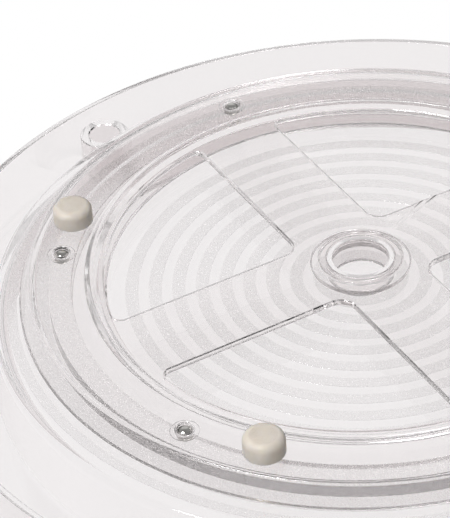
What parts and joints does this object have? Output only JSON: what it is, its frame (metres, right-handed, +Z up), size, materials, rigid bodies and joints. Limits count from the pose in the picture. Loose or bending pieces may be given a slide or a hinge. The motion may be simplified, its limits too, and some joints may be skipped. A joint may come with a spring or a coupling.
{
  "type": "lazy susan turntable",
  "caption": "Clear round turntable: a dished tray with a hollow rim, turning on steel balls over a clear base with soft feet.",
  "frame": {"origin": "on the axis of rotation, level with the undersides of the feet", "axes": "+Z up along the axis of rotation; +X and +Y in the plane that the feet stand on"},
  "size_m": [0.28, 0.28, 0.0428],
  "materials": {
    "clear_tray": "clear moulded plastic, polished, with frosted concentric bands under the floor",
    "clear_base": "clear moulded plastic, polished",
    "clear_clip": "clear moulded plastic, polished",
    "steel_ball": "polished bearing steel",
    "cream_foot": "translucent cream silicone, satin"
  },
  "bodies": {
    "base": {"base": "clear_base", "foot_1": "cream_foot", "foot_2": "cream_foot", "foot_3": "cream_foot", "foot_4": "cream_foot"},
    "tray": {"tray": "clear_tray", "pivot_clip": "clear_clip"},
    "ball_1": {"ball_1": "steel_ball"},
    "ball_2": {"ball_2": "steel_ball"},
    "ball_3": {"ball_3": "steel_ball"},
    "ball_4": {"ball_4": "steel_ball"},
    "ball_5": {"ball_5": "steel_ball"},
    "ball_6": {"ball_6": "steel_ball"}
  },
  "joints": [
    {"name": "tray_spin", "type": "hinge", "parent": "base", "child": "tray", "pos_m": [0, 0, 0.016], "axis": [0, 0, 1], "continuous": true},
    {"name": "ball_1_roll", "type": "hinge", "parent": "base", "child": "ball_1", "pos_m": [0.0944, 0.00611, 0.00909], "axis": [0.9979, 0.0645, 0], "continuous": true},
    {"name": "ball_2_roll", "type": "hinge", "parent": "base", "child": "ball_2", "pos_m": [0.04192, 0.08481, 0.00909], "axis": [0.4431, 0.8965, 0], "continuous": true},
    {"name": "ball_3_roll", "type": "hinge", "parent": "base", "child": "ball_3", "pos_m": [-0.05249, 0.0787, 0.00909], "axis": [-0.5548, 0.832, 0], "continuous": true},
    {"name": "ball_4_roll", "type": "hinge", "parent": "base", "child": "ball_4", "pos_m": [-0.0944, -0.00611, 0.00909], "axis": [-0.9979, -0.0645, 0], "continuous": true},
    {"name": "ball_5_roll", "type": "hinge", "parent": "base", "child": "ball_5", "pos_m": [-0.04192, -0.08481, 0.00909], "axis": [-0.4431, -0.8965, 0], "continuous": true},
    {"name": "ball_6_roll", "type": "hinge", "parent": "base", "child": "ball_6", "pos_m": [0.05249, -0.0787, 0.00909], "axis": [0.5548, -0.832, 0], "continuous": true}
  ],
  "couplings": [
    {"joint": "ball_1_roll", "follows": "tray_spin", "ratio": -34.4},
    {"joint": "ball_2_roll", "follows": "tray_spin", "ratio": -34.4},
    {"joint": "ball_3_roll", "follows": "tray_spin", "ratio": -34.4},
    {"joint": "ball_4_roll", "follows": "tray_spin", "ratio": -34.4},
    {"joint": "ball_5_roll", "follows": "tray_spin", "ratio": -34.4},
    {"joint": "ball_6_roll", "follows": "tray_spin", "ratio": -34.4}
  ]
}
